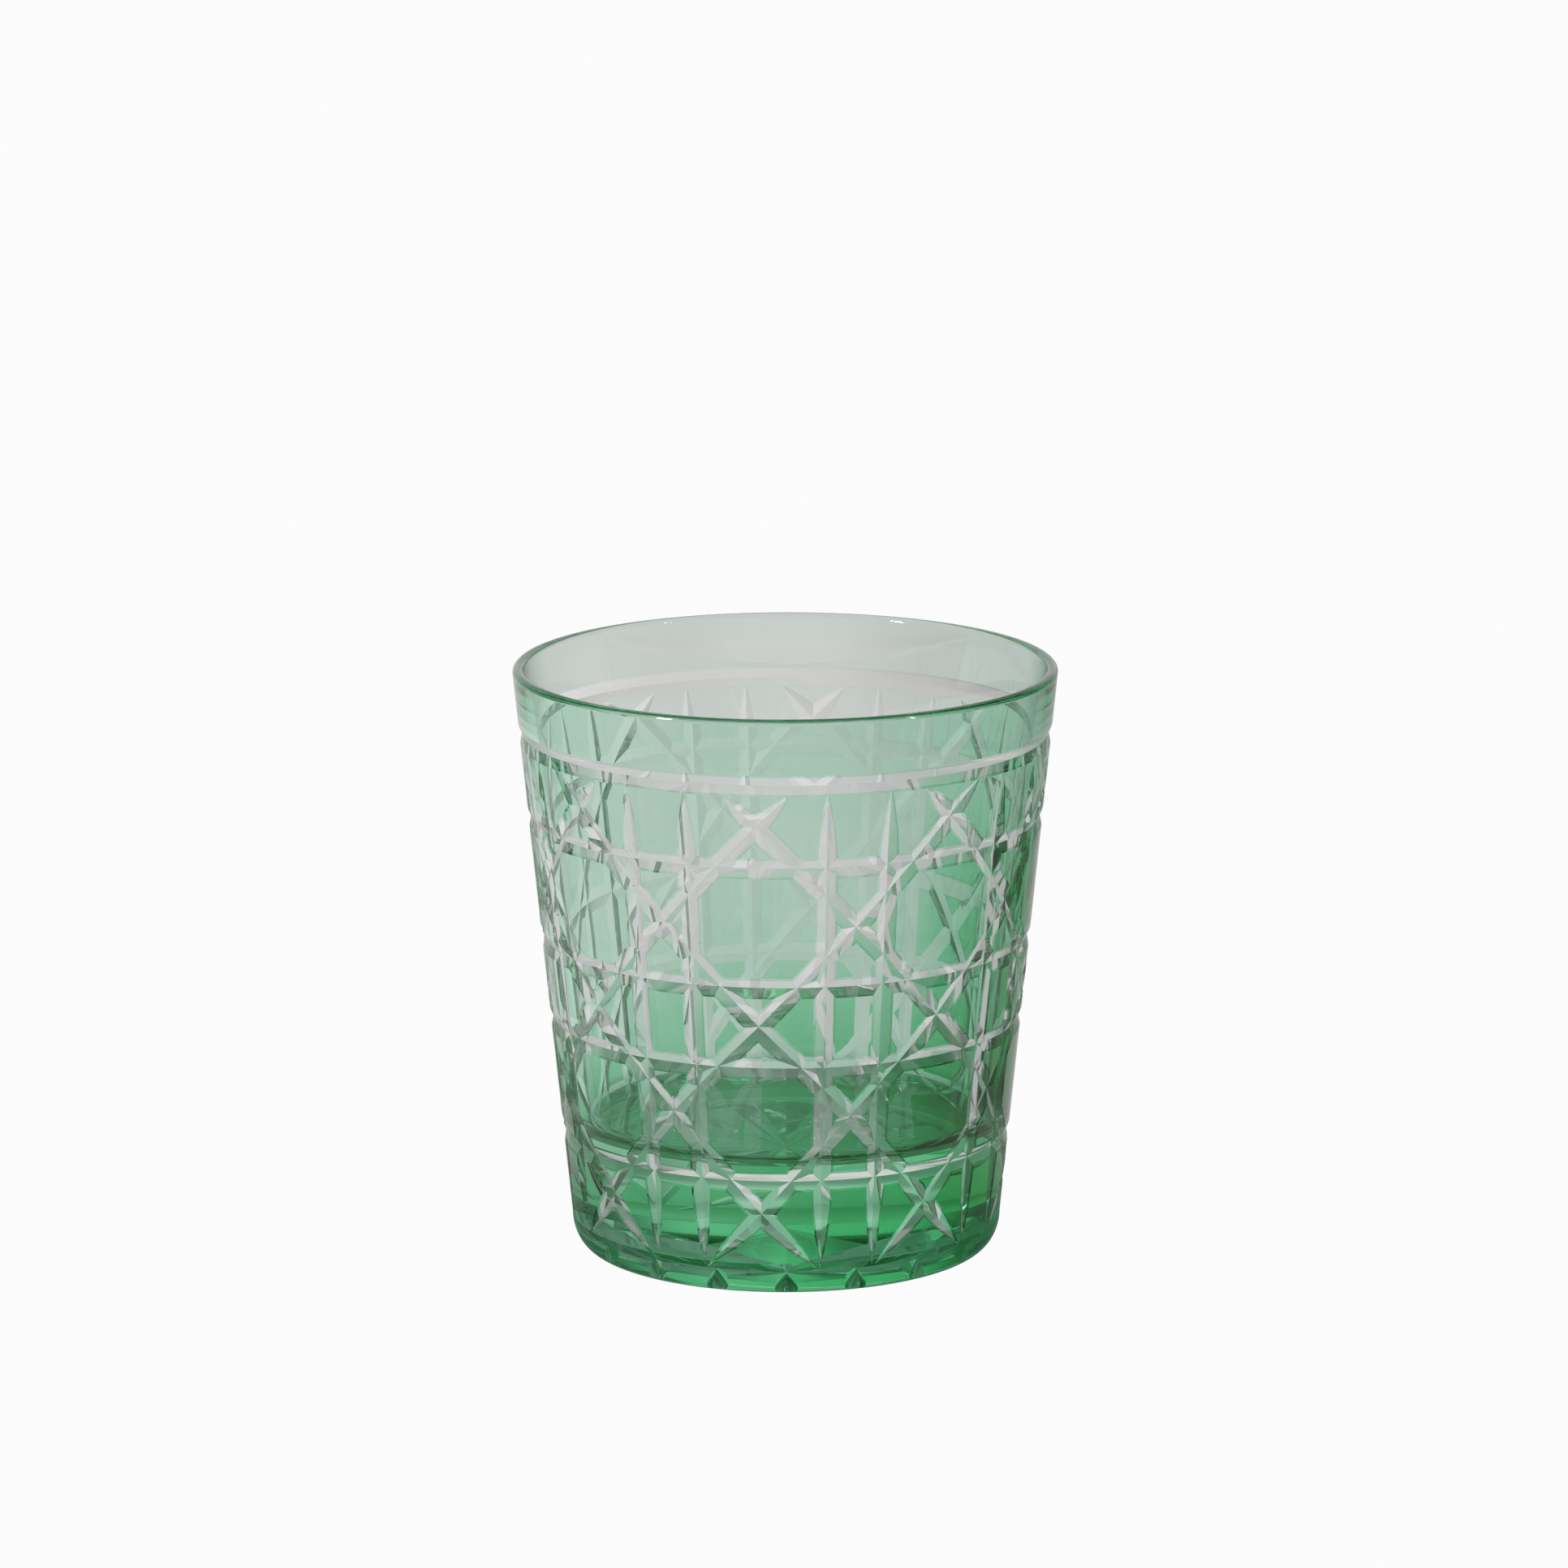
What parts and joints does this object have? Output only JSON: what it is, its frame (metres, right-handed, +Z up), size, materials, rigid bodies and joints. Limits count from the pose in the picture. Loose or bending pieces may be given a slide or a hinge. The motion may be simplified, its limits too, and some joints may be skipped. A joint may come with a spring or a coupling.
{
  "type": "whiskey tumbler",
  "caption": "Heavy cased-crystal whiskey tumbler: clear body under a thin green casing, wheel-cut through to clear glass in a chair-cane pattern, with a star-cut base.",
  "frame": {"origin": "centre of the foot ring, in the plane that the tumbler rests on", "axes": "+Z up along the axis of the cup, towards its mouth; -Y is the front; the middle of a wide cell of the cut pattern is 6.47 degrees from -Y towards -X"},
  "size_m": [0.0878, 0.0878, 0.096],
  "materials": {
    "clear_crystal": "polished",
    "green_casing": "polished"
  },
  "bodies": {
    "root": {"crystal_body": "clear_crystal", "rim_casing": "green_casing", "shoulder_casing": "green_casing", "heel_casing": "green_casing", "upper_octagon_1": "green_casing", "upper_octagon_2": "green_casing", "upper_octagon_3": "green_casing", "upper_octagon_4": "green_casing", "upper_octagon_5": "green_casing", "upper_octagon_6": "green_casing", "upper_octagon_7": "green_casing", "upper_octagon_8": "green_casing", "lower_octagon_1": "green_casing", "lower_octagon_2": "green_casing", "lower_octagon_3": "green_casing", "lower_octagon_4": "green_casing", "lower_octagon_5": "green_casing", "lower_octagon_6": "green_casing", "lower_octagon_7": "green_casing", "lower_octagon_8": "green_casing", "upper_arrow_down_1": "green_casing", "upper_arrow_down_2": "green_casing", "upper_arrow_down_3": "green_casing", "upper_arrow_down_4": "green_casing", "upper_arrow_down_5": "green_casing", "upper_arrow_down_6": "green_casing", "upper_arrow_down_7": "green_casing", "upper_arrow_down_8": "green_casing", "upper_arrow_up_1": "green_casing", "upper_arrow_up_2": "green_casing", "upper_arrow_up_3": "green_casing", "upper_arrow_up_4": "green_casing", "upper_arrow_up_5": "green_casing", "upper_arrow_up_6": "green_casing", "upper_arrow_up_7": "green_casing", "upper_arrow_up_8": "green_casing", "waist_block_1": "green_casing", "waist_block_2": "green_casing", "waist_block_3": "green_casing", "waist_block_4": "green_casing", "waist_block_5": "green_casing", "waist_block_6": "green_casing", "waist_block_7": "green_casing", "waist_block_8": "green_casing", "waist_wing_left_1": "green_casing", "waist_wing_left_2": "green_casing", "waist_wing_left_3": "green_casing", "waist_wing_left_4": "green_casing", "waist_wing_left_5": "green_casing", "waist_wing_left_6": "green_casing", "waist_wing_left_7": "green_casing", "waist_wing_left_8": "green_casing", "waist_wing_right_1": "green_casing", "waist_wing_right_2": "green_casing", "waist_wing_right_3": "green_casing", "waist_wing_right_4": "green_casing", "waist_wing_right_5": "green_casing", "waist_wing_right_6": "green_casing", "waist_wing_right_7": "green_casing", "waist_wing_right_8": "green_casing"}
  },
  "joints": []
}
